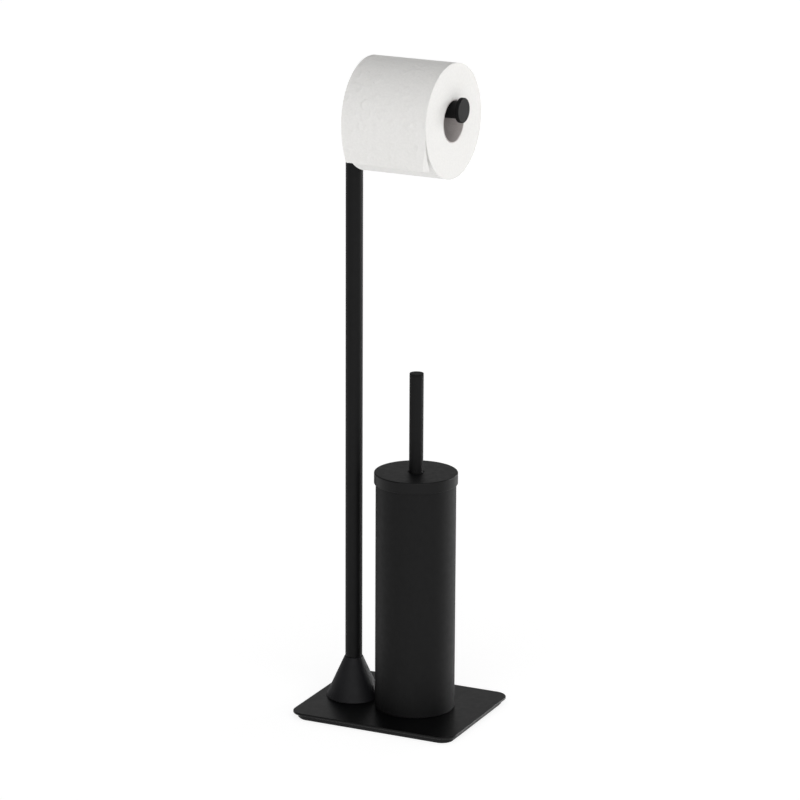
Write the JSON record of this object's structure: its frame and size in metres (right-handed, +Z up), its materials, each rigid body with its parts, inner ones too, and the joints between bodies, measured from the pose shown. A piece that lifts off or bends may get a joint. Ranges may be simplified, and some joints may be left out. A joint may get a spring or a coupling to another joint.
{
  "type": "free-standing toilet roll holder with brush set",
  "caption": "Free-standing toilet roll holder: weighted base plate, tall post with a horizontal roll arm, a paper roll, and a lidded brush holder with its brush.",
  "frame": {"origin": "middle of the base's underside, on the floor", "axes": "+Z up along the post, +X along the long side of the plate towards the end of the roll arm, -Y towards the front; the arm itself is turned 3.8 degrees from +X towards the front"},
  "size_m": [0.198, 0.163, 0.7375],
  "materials": {
    "black_powder_coat": "matte",
    "zinc_steel": "satin",
    "black_rubber": "matte",
    "black_plastic": "satin",
    "liner_plastic": "satin",
    "bristle_nylon": "satin",
    "white_tissue": "matte",
    "grey_card": "matte"
  },
  "bodies": {
    "stand": {"base_plate": "black_powder_coat", "base_weight": "black_powder_coat", "anti_slip_mat": "black_rubber", "cone_foot": "black_powder_coat", "post_tube": "black_powder_coat", "post_plug": "zinc_steel", "post_screw": "zinc_steel", "joint_sleeve": "zinc_steel", "arm_tube": "black_powder_coat", "arm_end_plug": "zinc_steel", "arm_knob": "black_powder_coat", "holder_tube": "black_powder_coat", "holder_base": "zinc_steel", "holder_nut": "zinc_steel", "holder_screw": "zinc_steel", "holder_liner": "liner_plastic"},
    "roll": {"roll_core": "grey_card", "roll_paper": "white_tissue", "roll_tail": "white_tissue"},
    "lid": {"brush_lid": "black_powder_coat", "lid_bush": "black_plastic", "lid_gasket": "black_rubber"},
    "brush": {"handle_tube": "black_powder_coat", "handle_cap": "black_powder_coat", "handle_insert": "zinc_steel", "stop_collar": "black_plastic", "brush_stem": "black_plastic", "brush_head": "black_plastic", "brush_bristles": "bristle_nylon"}
  },
  "joints": [
    {"name": "roll_spin", "type": "hinge", "parent": "stand", "child": "roll", "pos_m": [0.01244, -0.00467, 0.6753], "axis": [0.9978, -0.0663, 0], "continuous": true},
    {"name": "brush_lift", "type": "slide", "parent": "stand", "child": "lid", "axis": [0, 0, 1], "range_m": [0, 0.2]},
    {"name": "brush_turn", "type": "hinge", "parent": "lid", "child": "brush", "pos_m": [0.0179, 0, 0.2806], "axis": [0, 0, 1], "continuous": true}
  ]
}
